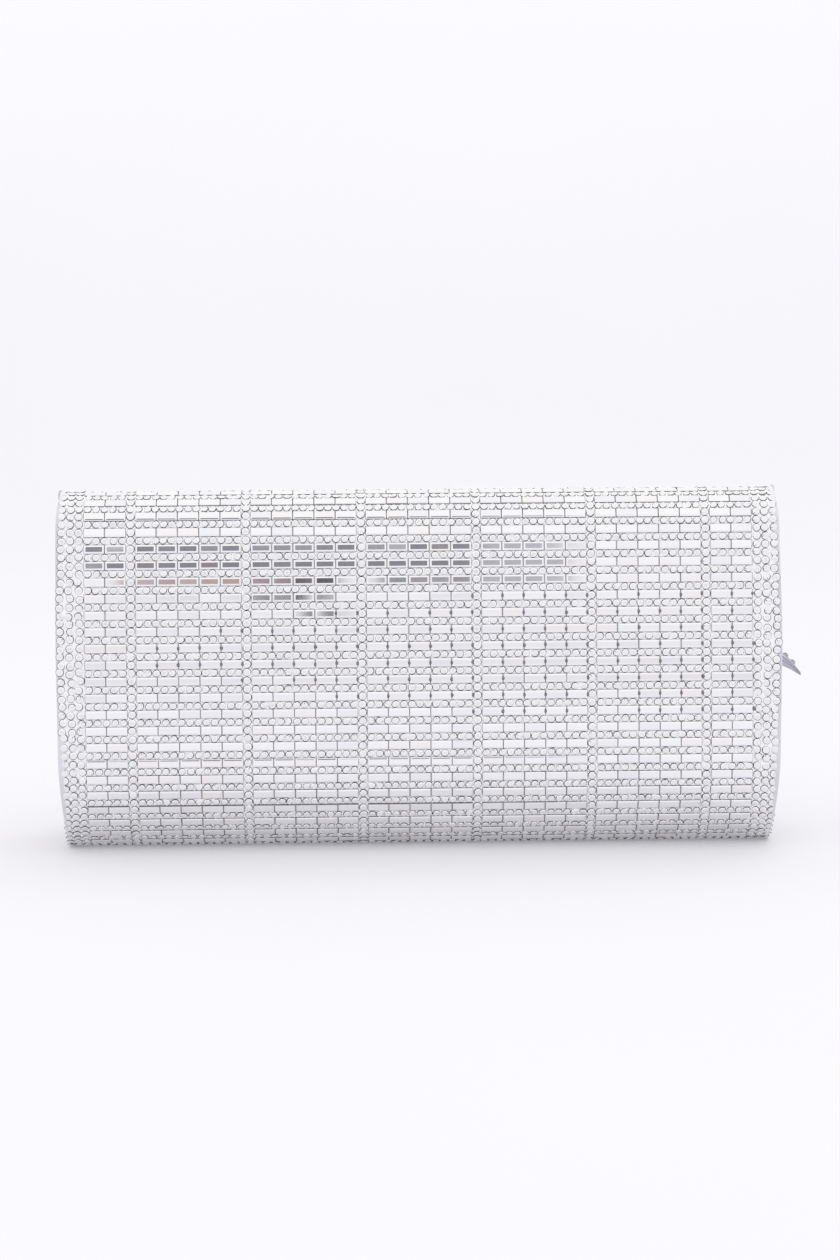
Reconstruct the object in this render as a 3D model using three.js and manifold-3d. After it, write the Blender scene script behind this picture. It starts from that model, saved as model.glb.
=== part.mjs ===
// Evening bag: a stiff, pillow-shaped clutch covered in crystal sheet, with satin side panels and a
// moulded flap that lifts from the far side. Millimetres. X runs across the width, +Z is up, the plain
// back face is at -Y and the flap hangs down the front at +Y. The underside rests on z = 0.
import * as THREE from "three";
import { mergeVertices } from "three/addons/utils/BufferGeometryUtils.js";
import Module from "manifold-3d";

const wasm = await Module();
wasm.setup();

// Driving dimensions.
const GAP = 0.3; // clearance between pieces that touch
const HALF_WIDTH = 125;
const SIDE_THICKNESS = 2.1;
const BACK_Y = -30; // furthest point of the back face
const FLAP_Y = 30; // furthest point of the flap
const FRONT_Y = 25.2; // furthest point of the body under the flap
const FLAP_END_Z = 59.6; // lower edge of the flap's crystal sheet
const FRONT_SHEET_TOP_Z = 67; // where the front's crystal sheet ends, under the flap
const FRONT_DROP = 1.7; // how much lower the far edge of the top lies than the crease
const CHORD_ERROR = 0.05; // how far a facet may leave its arc

// Depths of the layers, measured inwards from the outer surface: [outer, inner].
const SHEET = [0, 1.6];
const COVER = [1.9, 2.5];
const BOARD = [2.8, 4.6];
const LINING = [4.9, 5.7];
const FLAP_BOARD = [1.9, 3.1];
const FLAP_LINING = [3.4, 4.2];
const FLAP_CLEARANCE = 4.8; // depth of the body's surface under the flap
const UPPER_PANEL = [0.5, 1.6];

// Section of each side from the floor up: [normal from, normal to, radius], angles in degrees above
// level. Equal angles make a straight run, and the third number is then its length.
const BACK_CURVE = [
  [-90, -60, 6.75],
  [-60, -26, 28.8],
  [-26, 0, 39.75],
  [0, 0, 2.4],
  [0, 11, 400],
  [11, 17, 62],
  [17, 90, 13.5],
];
const FRONT_CURVE = [
  [-90, -54, 5.5],
  [-54, 0, 36],
  [0, 0, 1.2],
  [0, 11, 400 - FLAP_CLEARANCE],
  [11, 17, 62 - FLAP_CLEARANCE],
];

// Details.
const BINDING_LENGTH = 2.4; // height of the bars that finish the mouth and the flap's lower edge
const LINING_END_DROP = 5; // how far below the mouth's binding the lining's end walls start
const POCKET = { halfWidth: 70, depth: [6, 13.8], wall: 0.8, from: 28.7, length: 52 };
const MAGNET = { z: 78.4, radius: 7, plateRadius: 5 };
const TAB_TOP_Z = 65.9;

const SILVER = { color: 0xd6d8dd, roughness: 0.2, metalness: 0.9 };
const SATIN = { color: 0xc9c8cf, roughness: 0.45, metalness: 0 };
const LINING_SATIN = { color: 0xb9b7c0, roughness: 0.5, metalness: 0 };
const CARD = { color: 0xa89f90, roughness: 0.9, metalness: 0 };
const STEEL = { color: 0xc4c6ca, roughness: 0.3, metalness: 1 };

const bag = new THREE.Group();
bag.name = "evening_bag";

function addMesh(name, geometry, finish) {
  const mesh = new THREE.Mesh(geometry, new THREE.MeshStandardMaterial(finish));
  mesh.name = name;
  bag.add(mesh);
}

// ---- solids -------------------------------------------------------------------------------------

function toSolid(geometry) {
  const bare = geometry.clone();
  bare.deleteAttribute("normal");
  bare.deleteAttribute("uv");
  const merged = mergeVertices(bare, 1e-4);
  return new wasm.Manifold(
    new wasm.Mesh({
      numProp: 3,
      vertProperties: merged.attributes.position.array,
      triVerts: new Uint32Array(merged.index.array),
    }),
  );
}

function toGeometry(solid) {
  const mesh = solid.getMesh();
  const geometry = new THREE.BufferGeometry();
  geometry.setAttribute("position", new THREE.BufferAttribute(mesh.vertProperties.slice(), 3));
  geometry.setIndex(new THREE.BufferAttribute(mesh.triVerts.slice(), 1));
  return geometry;
}

function join(geometries) {
  return toGeometry(geometries.map(toSolid).reduce((sum, solid) => sum.add(solid)));
}

function cutAway(geometry, tool) {
  return toGeometry(toSolid(geometry).subtract(toSolid(tool)));
}

// A flat outline in the Y-Z plane, carried along X from x0 to x1.
function extrudeAcross(outline, x0, x1) {
  const shape = new THREE.Shape(outline.map((p) => new THREE.Vector2(p.y, p.z)));
  const geometry = new THREE.ExtrudeGeometry(shape, { depth: x1 - x0, bevelEnabled: false, steps: 1 });
  const turn = new THREE.Matrix4().makeBasis(
    new THREE.Vector3(0, 1, 0),
    new THREE.Vector3(0, 0, 1),
    new THREE.Vector3(1, 0, 0),
  );
  geometry.applyMatrix4(turn);
  geometry.translate(x0, 0, 0);
  return geometry;
}

// ---- section paths ------------------------------------------------------------------------------

// Points of a side from the floor up, with the outward normal of each, for the side at -Y.
function walk(curve) {
  const radians = THREE.MathUtils.degToRad;
  const points = [{ y: 0, z: 0, ny: 0, nz: -1 }];
  for (const [fromDeg, toDeg, size] of curve) {
    const from = radians(fromDeg);
    const to = radians(toDeg);
    const last = points[points.length - 1];
    if (from === to) {
      points.push({ y: last.y + size * Math.sin(from), z: last.z + size * Math.cos(from), ny: last.ny, nz: last.nz });
      continue;
    }
    const steps = Math.ceil((to - from) / (2 * Math.acos(1 - CHORD_ERROR / size)));
    const centreY = last.y + size * Math.cos(from);
    const centreZ = last.z - size * Math.sin(from);
    for (let i = 1; i <= steps; i++) {
      const a = from + ((to - from) * i) / steps;
      const ny = -Math.cos(a);
      const nz = Math.sin(a);
      points.push({ y: centreY + size * ny, z: centreZ + size * nz, ny, nz });
    }
  }
  return points;
}

// Shifts a side so that its furthest point stands at apexY, mirrored when that is at +Y.
function place(points, apexY) {
  const furthest = Math.min(...points.map((p) => p.y));
  const side = Math.sign(apexY);
  return points.map((p) => {
    const y = p.y - furthest - Math.abs(apexY);
    return { y: -side * y, z: p.z, ny: -side * p.ny, nz: p.nz };
  });
}

function inset(points, depth) {
  return points.map((p) => ({ y: p.y - depth * p.ny, z: p.z - depth * p.nz }));
}

// The part of a path between two lengths along it; a negative end counts back from the path's end.
function trim(points, start, end) {
  const lengths = [0];
  for (let i = 1; i < points.length; i++) {
    const step = Math.hypot(points[i].y - points[i - 1].y, points[i].z - points[i - 1].z);
    lengths.push(lengths[i - 1] + step);
  }
  const total = lengths[lengths.length - 1];
  const stop = end > 0 ? end : total + end;
  const at = (s) => {
    const i = Math.min(lengths.findIndex((l) => l >= s - 1e-9), points.length - 1);
    if (i <= 0) return points[0];
    const t = (s - lengths[i - 1]) / (lengths[i] - lengths[i - 1]);
    const mix = (key) => points[i - 1][key] * (1 - t) + points[i][key] * t;
    return { y: mix("y"), z: mix("z"), ny: mix("ny"), nz: mix("nz") };
  };
  const inside = points.filter((_, i) => lengths[i] > start + 1e-6 && lengths[i] < stop - 1e-6);
  return [at(start), ...inside, at(stop)];
}

// The length along a path at which it first passes a height.
function lengthAtHeight(points, z) {
  let length = 0;
  for (let i = 1; i < points.length; i++) {
    const a = points[i - 1];
    const b = points[i];
    const step = Math.hypot(b.y - a.y, b.z - a.z);
    if ((a.z - z) * (b.z - z) <= 0 && a.z !== b.z) return length + (step * (z - a.z)) / (b.z - a.z);
    length += step;
  }
  return length;
}

// A curved plate that follows a path, between two depths under the outer surface.
function plate(points, [outer, inner], x0, x1) {
  const outline = [...inset(points, outer), ...inset(points, inner).reverse()];
  return extrudeAcross(outline, x0, x1);
}

const backSide = place(walk(BACK_CURVE), BACK_Y);
const frontSide = place(walk(FRONT_CURVE), FRONT_Y);
const nominalFront = place(walk(BACK_CURVE), FLAP_Y).map((p) => ({ ...p, z: p.z - FRONT_DROP }));

// The lower corners, which belong to the base, end where the first arc of each side does.
const cornerSteps = (side, curve) => {
  const endNormalZ = Math.sin(THREE.MathUtils.degToRad(curve[0][1]));
  return side.findIndex((p) => p.nz > endNormalZ - 1e-6);
};
const CORNER_STEPS = cornerSteps(backSide, BACK_CURVE);
const FRONT_CORNER_STEPS = cornerSteps(frontSide, FRONT_CURVE);
const backWall = backSide.slice(CORNER_STEPS);
const frontWall = frontSide.slice(FRONT_CORNER_STEPS);
const base = [...backSide.slice(0, CORNER_STEPS + 1).reverse(), ...frontSide.slice(0, FRONT_CORNER_STEPS + 1)];
const crease = backSide[backSide.length - 1];

// The flap's path starts at the crease, crosses the top and runs down the front.
const flapPath = [crease, ...nominalFront.slice().reverse()];
const hanging = flapPath.slice(2);
const roofLength = Math.hypot(flapPath[2].y - crease.y, flapPath[2].z - crease.z);
const flapLength = roofLength + lengthAtHeight(hanging, FLAP_END_Z);

const INNER_X = HALF_WIDTH - SIDE_THICKNESS - GAP; // half width of everything between the side panels

// ---- body ---------------------------------------------------------------------------------------

// Crystal sheet: back face, underside, and the front up to a little way under the flap.
const frontSheetEnd = lengthAtHeight(frontWall, FRONT_SHEET_TOP_Z);
addMesh("crystal_sheet_back", plate(trim(backWall, GAP, -GAP), SHEET, -INNER_X, INNER_X), SILVER);
addMesh("crystal_sheet_base", plate(base, SHEET, -INNER_X, INNER_X), SILVER);
addMesh("crystal_sheet_front", plate(trim(frontWall, GAP, frontSheetEnd), SHEET, -INNER_X, INNER_X), SILVER);

// The magnet's hole goes square to the front wall, which leans back a little at that height.
function discOnPath(points, z, radius, [outer, inner]) {
  const [p] = trim(points, lengthAtHeight(points, z), -GAP);
  const disc = new THREE.CylinderGeometry(radius, radius, inner - outer, 36);
  const outwards = new THREE.Vector3(0, p.ny, p.nz);
  disc.applyQuaternion(new THREE.Quaternion().setFromUnitVectors(new THREE.Vector3(0, 1, 0), outwards));
  const depth = (outer + inner) / 2;
  disc.translate(0, p.y - depth * p.ny, p.z - depth * p.nz);
  return disc;
}

// Plain satin above the front's crystal sheet, with the magnet's socket let into it.
const upperPanel = plate(
  trim(frontWall, frontSheetEnd + GAP, -(BINDING_LENGTH + GAP)),
  UPPER_PANEL,
  -INNER_X,
  INNER_X,
);
const socketHole = discOnPath(frontWall, MAGNET.z, MAGNET.radius + GAP, [-2, COVER[0]]);
addMesh("front_satin_panel", cutAway(upperPanel, socketHole), SATIN);
addMesh("magnet_socket", discOnPath(frontWall, MAGNET.z, MAGNET.radius, UPPER_PANEL), STEEL);

// Satin cover under the crystals, and the stiff board it is wrapped round.
const frontInner = trim(frontWall, GAP, -(BINDING_LENGTH + GAP));
addMesh("satin_cover_back", plate(trim(backWall, GAP, -GAP), COVER, -INNER_X, INNER_X), SATIN);
addMesh("satin_cover_base", plate(base, COVER, -INNER_X, INNER_X), SATIN);
addMesh("satin_cover_front", plate(frontInner, COVER, -INNER_X, INNER_X), SATIN);
addMesh("back_board", plate(trim(backWall, GAP, -GAP), BOARD, -INNER_X, INNER_X), CARD);
addMesh("base_board", plate(base, BOARD, -INNER_X, INNER_X), CARD);
const frontBoard = plate(frontInner, BOARD, -INNER_X, INNER_X);
const plateHole = discOnPath(frontWall, MAGNET.z, MAGNET.plateRadius + GAP, [COVER[1], LINING[0]]);
addMesh("front_board", cutAway(frontBoard, plateHole), CARD);
addMesh("magnet_plate_body", discOnPath(frontWall, MAGNET.z, MAGNET.plateRadius, BOARD), STEEL);

// The mouth's front edge is finished with a satin bar over all the layers.
const mouthBar = trim(frontWall, lengthAtHeight(frontWall, 1e9) - BINDING_LENGTH, -1e-6);
addMesh("mouth_binding", plate(mouthBar, [0, LINING[1]], -INNER_X, INNER_X), SATIN);

// Under the flap the side panels and the lining's ends stop at this line, from the front to the crease.
const rollFrom = nominalFront.length - Math.ceil((73 / 360) * Math.PI / Math.acos(1 - CHORD_ERROR / 13.5)) - 1;
const mouthLine = [...nominalFront.slice(rollFrom), crease];

const bodyPath = [...frontWall.slice().reverse(), ...base.slice(1, -1).reverse(), ...backWall];
const sideOutline = [...inset(bodyPath, 0), ...inset(mouthLine, FLAP_CLEARANCE).reverse().slice(0, -1)];
addMesh("side_panel_left", extrudeAcross(sideOutline, -HALF_WIDTH, -HALF_WIDTH + SIDE_THICKNESS), SATIN);
addMesh("side_panel_right", extrudeAcross(sideOutline, HALF_WIDTH - SIDE_THICKNESS, HALF_WIDTH), SATIN);

// Lining: one pocket, open at the top.
const liningPath = trim(bodyPath, BINDING_LENGTH + GAP, -GAP);
const liningThickness = LINING[1] - LINING[0];
const liningEnd = inset(trim(bodyPath, BINDING_LENGTH + LINING_END_DROP, -GAP), LINING[0]);
addMesh(
  "lining",
  join([
    plate(liningPath, LINING, -INNER_X, INNER_X),
    extrudeAcross(liningEnd, -INNER_X, -INNER_X + liningThickness),
    extrudeAcross(liningEnd, INNER_X - liningThickness, INNER_X),
  ]),
  LINING_SATIN,
);

// Slip pocket on the back lining: a front, two sides and a bottom, open upwards.
const pocketPath = trim(backWall, POCKET.from, POCKET.from + POCKET.length);
const pocketBottom = trim(backWall, POCKET.from, POCKET.from + POCKET.wall);
const [pocketIn, pocketOut] = POCKET.depth;
const pocketSide = (x) => plate(pocketPath, POCKET.depth, x, x + POCKET.wall);
addMesh(
  "slip_pocket",
  join([
    plate(pocketPath, [pocketOut - POCKET.wall, pocketOut], -POCKET.halfWidth, POCKET.halfWidth),
    plate(pocketBottom, [pocketIn, pocketOut], -POCKET.halfWidth, POCKET.halfWidth),
    pocketSide(-POCKET.halfWidth),
    pocketSide(POCKET.halfWidth - POCKET.wall),
  ]),
  LINING_SATIN,
);

// ---- flap ---------------------------------------------------------------------------------------

// Split where the front starts to hang, so that each piece of sheet is a simple curve.
const hangFrom = roofLength + lengthAtHeight(hanging, crease.z - FRONT_DROP - 13.5);
addMesh("crystal_sheet_top", plate(trim(flapPath, GAP, hangFrom), SHEET, -INNER_X, INNER_X), SILVER);
addMesh(
  "crystal_sheet_flap",
  plate(trim(flapPath, hangFrom + GAP, flapLength), SHEET, -INNER_X, INNER_X),
  SILVER,
);

const flapInner = trim(flapPath, GAP, flapLength);
const flapBoard = plate(flapInner, FLAP_BOARD, -INNER_X, INNER_X);
const flapLining = plate(flapInner, FLAP_LINING, -INNER_X, INNER_X);
const studPlateHole = discOnPath(hanging, MAGNET.z, MAGNET.plateRadius + GAP, [1, FLAP_LINING[0]]);
const studHole = discOnPath(hanging, MAGNET.z, MAGNET.radius + GAP, [FLAP_BOARD[1], 6]);
addMesh("flap_board", cutAway(flapBoard, studPlateHole), CARD);
addMesh("flap_lining", cutAway(flapLining, studHole), LINING_SATIN);
addMesh("magnet_plate_flap", discOnPath(hanging, MAGNET.z, MAGNET.plateRadius, FLAP_BOARD), STEEL);
addMesh("magnet_stud", discOnPath(hanging, MAGNET.z, MAGNET.radius, FLAP_LINING), STEEL);

// Satin bindings down both edges and along the lower edge.
const rightEnd = roofLength + lengthAtHeight(hanging, TAB_TOP_Z);
const flapDepth = [0, FLAP_LINING[1]];
const edgeLeft = trim(flapPath, GAP, flapLength + GAP + BINDING_LENGTH);
const edgeRight = trim(flapPath, GAP, rightEnd);
addMesh("flap_binding_left", plate(edgeLeft, flapDepth, -HALF_WIDTH, -INNER_X - GAP), SATIN);
addMesh("flap_binding_right", plate(edgeRight, flapDepth, INNER_X + GAP, HALF_WIDTH), SATIN);
const hem = trim(flapPath, flapLength + GAP, flapLength + GAP + BINDING_LENGTH);
const TAB_ROOT_X = 112;
addMesh("flap_hem", plate(hem, flapDepth, -INNER_X, TAB_ROOT_X - GAP), SATIN);

// Pointed pull tab at the lower right corner. Each station: x, lower z, upper z, near y, far y.
const hemTop = hem[0];
const hemBottom = hem[hem.length - 1];
const TAB_STATIONS = [
  [INNER_X + GAP, hemBottom.z, TAB_TOP_Z - 0.4, 25.4, 28.9],
  [126.5, 56.4, 65.0, 25.6, 28.8],
  [130, 56.8, 63.8, 25.8, 28.6],
  [133.5, 56.4, 61.6, 26.0, 28.2],
  [137, 54.8, 58.3, 26.2, 27.8],
  [140.5, 52.6, 53.8, 26.6, 27.4],
];

// A closed solid through rectangular stations along X.
function loft(stations) {
  const positions = [];
  const quad = (a, b, c, d) => positions.push(...a, ...b, ...c, ...a, ...c, ...d);
  const corners = ([x, z0, z1, y0, y1]) => [
    [x, y0, z0],
    [x, y1, z0],
    [x, y1, z1],
    [x, y0, z1],
  ];
  const rings = stations.map(corners);
  for (let i = 1; i < rings.length; i++) {
    for (let k = 0; k < 4; k++) {
      const n = (k + 1) % 4;
      quad(rings[i - 1][k], rings[i - 1][n], rings[i][n], rings[i][k]);
    }
  }
  const [first, last] = [rings[0], rings[rings.length - 1]];
  quad(first[0], first[3], first[2], first[1]);
  quad(last[0], last[1], last[2], last[3]);
  const geometry = new THREE.BufferGeometry();
  geometry.setAttribute("position", new THREE.Float32BufferAttribute(positions, 3));
  return mergeVertices(geometry, 1e-4);
}

const tabRoot = loft([
  [TAB_ROOT_X, hemBottom.z, hemTop.z, 25.4, 28.9],
  [INNER_X + GAP + 0.5, hemBottom.z, hemTop.z, 25.4, 28.9],
]);
addMesh("pull_tab", join([tabRoot, loft(TAB_STATIONS)]), SATIN);

// Round crystals are set along the tab's outer face.
const TAB_CRYSTALS = TAB_STATIONS.map(([x, z0, z1, , y1]) => [x, z0 + 0.3, z1 - 0.2, y1 + GAP, y1 + 1.8]);
addMesh("pull_tab_crystals", loft(TAB_CRYSTALS), SILVER);

export default bag;
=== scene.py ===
"""Evening bag: a pillow-shaped clutch covered in rows of crystals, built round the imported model.

Metres. X runs across the width, the plain back face looks towards -Y and the camera, the flap
hangs down the far side at +Y, and the underside stands on z = 0.
"""

import math

import bmesh
import bpy
import numpy as np
from mathutils import Matrix, Vector


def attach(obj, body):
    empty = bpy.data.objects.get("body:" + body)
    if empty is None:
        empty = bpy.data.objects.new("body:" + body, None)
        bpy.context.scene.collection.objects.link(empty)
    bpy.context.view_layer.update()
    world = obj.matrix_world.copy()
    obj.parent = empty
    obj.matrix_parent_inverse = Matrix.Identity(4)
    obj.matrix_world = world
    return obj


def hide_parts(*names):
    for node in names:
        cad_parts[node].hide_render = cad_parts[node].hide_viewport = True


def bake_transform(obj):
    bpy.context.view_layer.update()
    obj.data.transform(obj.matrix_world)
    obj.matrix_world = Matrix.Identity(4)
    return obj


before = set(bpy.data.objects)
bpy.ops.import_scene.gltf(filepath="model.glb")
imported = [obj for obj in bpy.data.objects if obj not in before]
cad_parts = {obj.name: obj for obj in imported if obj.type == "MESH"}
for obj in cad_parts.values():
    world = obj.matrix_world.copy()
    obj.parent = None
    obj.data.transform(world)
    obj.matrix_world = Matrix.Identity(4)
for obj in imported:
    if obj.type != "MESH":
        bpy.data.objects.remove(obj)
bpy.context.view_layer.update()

MM = 0.001
rng = np.random.default_rng(8)

# ---- sizes shared with the solids, in millimetres -----------------------------------------------

HALF_WIDTH = 125.0
SIDE_ALLOWANCE = 2.4  # a side panel and the gap beside it
INNER_X = HALF_WIDTH - SIDE_ALLOWANCE  # half width of everything between the side panels
BACK_Y = -30.0
FLAP_Y = 30.0
FRONT_Y = 25.2
FLAP_CLEARANCE = 4.8
FRONT_DROP = 1.7  # how much lower the far edge of the top lies than the crease

# Section of each side from the floor up: (normal from, normal to, radius), angles in degrees above
# level. Equal angles make a straight run, and the third number is then its length.
BACK_CURVE = [
    (-90, -60, 6.75),
    (-60, -26, 28.8),
    (-26, 0, 39.75),
    (0, 0, 2.4),
    (0, 11, 400.0),
    (11, 17, 62.0),
    (17, 90, 13.5),
]
FRONT_CURVE = [
    (-90, -54, 5.5),
    (-54, 0, 36.0),
    (0, 0, 1.2),
    (0, 11, 400.0 - FLAP_CLEARANCE),
    (11, 17, 62.0 - FLAP_CLEARANCE),
]
CURVE_STEP_DEG = 0.5

# ---- layout of the crystals, in millimetres -----------------------------------------------------

ROW_PITCH = 2.86  # one row of round stones in the side bands
CREASE_ROW = 49  # the flap's first row
LAST_ROW = 80  # one past the flap's last row
FLAP_SPLIT_ROW = 62  # the first row of the flap's front part
FIRST_ROW = -33  # the front's highest row, under the flap
BASE_FIRST_ROW = -7
BACK_FIRST_ROW = 0
BAGUETTE_SHARE = 0.575  # of a pair of rows, the part that the long stones take

BAND_PITCH = 2.8
BAND_COLUMNS = 3
DIVIDER_WIDTH = 3.05
BAGUETTE_PITCH = 7.33
PANELS = [2, 5, 5, 5, 5, 5, 2]  # long stones across each panel, from side to side
ROUNDS_PER_PANEL = {2: 5, 5: 13}

NEAT_ROWS = 7  # how many rows next to the base and the crease keep a neat grid in the side bands

STONE_BASE_DEPTH = 0.64  # the stones stand on the mesh at this depth under the outer surface
ROUND_TILT_DEG = 4.5  # how far a stone leans at random (one standard deviation), by kind
DIVIDER_TILT_DEG = 3.5
BAGUETTE_TILT_DEG = 0.2
STUD_TILT_DEG = 4.0

STUD_ROWS = (19, 34)  # rows of the back where small grey studs stand at the long stones' ends
STUD_MIDDLE_ROW = 26
STUD_SHARE = 0.88  # of the joints in those rows, the part that has a stud
STUD_START_X = -105.0  # where the studs of the middle row start
STUD_START_SHIFT = 135.0  # how much further right they start STUD_HALF_ROWS from the middle row
STUD_HALF_ROWS = 7.5

EDGE_SPREAD = 1.3  # how far the back's outer stones stand out over the side rolls, at most
EDGE_SPREAD_Z = 78.0  # the height where they do
EDGE_SPREAD_REACH = 36.0
BAND_SPREAD = 1.2  # how far a side band's outer edge moves out, as a share of that


# ---- section paths ------------------------------------------------------------------------------


def walk(curve):
    """Rows of (y, z, normal y, normal z) up one side, for the side at -Y, starting at (0, 0)."""
    y, z = 0.0, 0.0
    rows = [(y, z, 0.0, -1.0)]
    for start_deg, end_deg, size in curve:
        a0, a1 = math.radians(start_deg), math.radians(end_deg)
        if start_deg == end_deg:
            y, z = y + size * math.sin(a0), z + size * math.cos(a0)
            rows.append((y, z, -math.cos(a0), math.sin(a0)))
            continue
        cy, cz = y + size * math.cos(a0), z - size * math.sin(a0)
        steps = max(2, round(abs(end_deg - start_deg) / CURVE_STEP_DEG))
        for a in np.linspace(a0, a1, steps + 1)[1:]:
            rows.append((cy - size * math.cos(a), cz + size * math.sin(a), -math.cos(a), math.sin(a)))
        y, z = rows[-1][:2]
    return np.array(rows)


def place(rows, apex_y):
    """Moves a side so that its furthest point stands at apex_y, mirrored when that is at +Y."""
    out = rows.copy()
    out[:, 0] += -abs(apex_y) - rows[:, 0].min()
    if apex_y > 0:
        out[:, 0] *= -1
        out[:, 2] *= -1
    return out


class Path:
    """A section path, measured along its outer surface in millimetres."""

    def __init__(self, rows, start=0.0):
        self.rows = rows
        step = np.hypot(np.diff(rows[:, 0]), np.diff(rows[:, 1]))
        self.s = start + np.concatenate([[0.0], np.cumsum(step)])

    def at(self, s, depth=0.0):
        """(y, z, normal y, normal z) at lengths s, at a depth under the outer surface."""
        y, z, ny, nz = (np.interp(s, self.s, self.rows[:, i]) for i in range(4))
        size = np.hypot(ny, nz)
        ny, nz = ny / size, nz / size
        return np.stack([y - depth * ny, z - depth * nz, ny, nz], axis=-1)

    def length_at(self, z):
        """The length at which the path first passes height z."""
        heights = self.rows[:, 1]
        for i in range(1, len(heights)):
            low, high = sorted((heights[i - 1], heights[i]))
            if low <= z <= high and low != high:
                t = (z - heights[i - 1]) / (heights[i] - heights[i - 1])
                return self.s[i - 1] + t * (self.s[i] - self.s[i - 1])
        raise ValueError(f"the path never reaches {z}")


back_rows = place(walk(BACK_CURVE), BACK_Y)
front_rows = place(walk(FRONT_CURVE), FRONT_Y)
flap_rows = place(walk(BACK_CURVE), FLAP_Y) - [0.0, FRONT_DROP, 0.0, 0.0]

BACK = Path(back_rows)
CREASE_S = BACK.s[-1]
FIRST_ROW_S = CREASE_S - CREASE_ROW * ROW_PITCH  # where row 0 starts, low on the back
# The whole body skin, from the mouth's front edge down, under the base and up the back.
under = np.concatenate([front_rows[::-1], back_rows])
BODY = Path(under)
BODY.s += CREASE_S - BODY.s[-1]
# The flap skin, from the crease over the top and down the front.
FLAP = Path(np.concatenate([back_rows[-1:], flap_rows[::-1]]), CREASE_S)
FLAP_END_S = FIRST_ROW_S + LAST_ROW * ROW_PITCH


# ---- mesh helpers -------------------------------------------------------------------------------


def add_mesh(name, vertices_mm, faces, material, body, smooth=True):
    """A mesh piece from vertices in millimetres, riding on a CAD body."""
    mesh = bpy.data.meshes.new(name)
    mesh.from_pydata([tuple(v) for v in np.asarray(vertices_mm, float) * MM], [], faces)
    mesh.validate()
    mesh.update()
    piece = bpy.data.objects.new(name, mesh)
    bpy.context.scene.collection.objects.link(piece)
    for m in material if isinstance(material, list) else [material]:
        mesh.materials.append(m)
    mesh.polygons.foreach_set("use_smooth", [smooth] * len(mesh.polygons))
    if body:
        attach(piece, body)
    return piece


def ring_faces(rings, size, closed_ends=True):
    """Quads between rings of vertices, each ring of the same size, with caps at both ends."""
    faces = []
    for r in range(rings - 1):
        for k in range(size):
            n = (k + 1) % size
            a, b = r * size, (r + 1) * size
            faces.append((a + k, a + n, b + n, b + k))
    if closed_ends:
        faces.append(tuple(reversed(range(size))))
        faces.append(tuple((rings - 1) * size + k for k in range(size)))
    return faces


# ---- materials ----------------------------------------------------------------------------------


def new_material(name):
    material = bpy.data.materials.new(name)
    material.use_nodes = True
    return material, material.node_tree.nodes, material.node_tree.links


def set_shader(shader, **values):
    for key, value in values.items():
        shader.inputs[key.replace("_", " ")].default_value = value


def crystal_material(name, tint, roughness):
    """Foil-backed glass: a mirror under a clear skin, cut in facets by the mesh itself."""
    material, nodes, _ = new_material(name)
    shader = nodes["Principled BSDF"]
    set_shader(shader, Base_Color=(*tint, 1.0), Metallic=1.0, Roughness=roughness)
    set_shader(shader, Coat_Weight=1.0, Coat_Roughness=0.02)
    return material


def noise(nodes, links, vector, scale, detail):
    node = nodes.new("ShaderNodeTexNoise")
    node.inputs["Scale"].default_value = scale
    node.inputs["Detail"].default_value = detail
    links.new(vector, node.inputs["Vector"])
    return node


def colour_ramp(nodes, links, factor, stops):
    ramp = nodes.new("ShaderNodeValToRGB")
    elements = ramp.color_ramp.elements
    while len(elements) < len(stops):
        elements.new(0.5)
    for element, (position, colour) in zip(elements, stops):
        element.position = position
        element.color = (*colour, 1.0)
    links.new(factor, ramp.inputs["Fac"])
    return ramp


def speckled_material(name, scale, detail, stops):
    """A material whose colour wanders between the stops. Returns its nodes, links and noise as well."""
    material, nodes, links = new_material(name)
    coords = nodes.new("ShaderNodeTexCoord")
    grain = noise(nodes, links, coords.outputs["Object"], scale, detail)
    ramp = colour_ramp(nodes, links, grain.outputs["Fac"], stops)
    links.new(ramp.outputs["Color"], nodes["Principled BSDF"].inputs["Base Color"])
    return material, nodes, links, grain


def add_bump(nodes, links, height, strength):
    bump = nodes.new("ShaderNodeBump")
    bump.inputs["Strength"].default_value = strength
    bump.inputs["Distance"].default_value = 0.0001
    links.new(height, bump.inputs["Height"])
    links.new(bump.outputs["Normal"], nodes["Principled BSDF"].inputs["Normal"])


SATIN_THREADS = (900.0, 5200.0, 5200.0)  # how closely the threads' noise varies along x, y and z


def satin_material(name, dark, light):
    """Woven satin: floats that run one way, a soft sheen and a faint unevenness."""
    material, nodes, links, _ = speckled_material(name, 60.0, 3.0, [(0.3, dark), (0.7, light)])
    coords = nodes.new("ShaderNodeTexCoord")
    stretch = nodes.new("ShaderNodeVectorMath")
    stretch.operation = "MULTIPLY"
    stretch.inputs[1].default_value = SATIN_THREADS
    links.new(coords.outputs["Object"], stretch.inputs[0])
    threads = noise(nodes, links, stretch.outputs[0], 1.0, 2.0)
    add_bump(nodes, links, threads.outputs["Fac"], 0.25)
    set_shader(nodes["Principled BSDF"], Roughness=0.42, Sheen_Weight=0.3, Sheen_Roughness=0.35)
    return material


def mesh_material():
    """The bright silver mesh that the stones are set on: it shows only in the gaps."""
    stops = [(0.35, (0.88, 0.88, 0.90)), (0.7, (0.96, 0.96, 0.97))]
    material, nodes, _, _ = speckled_material("crystal_backing", 900.0, 2.0, stops)
    set_shader(nodes["Principled BSDF"], Metallic=0.1, Roughness=0.45)
    return material


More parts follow.
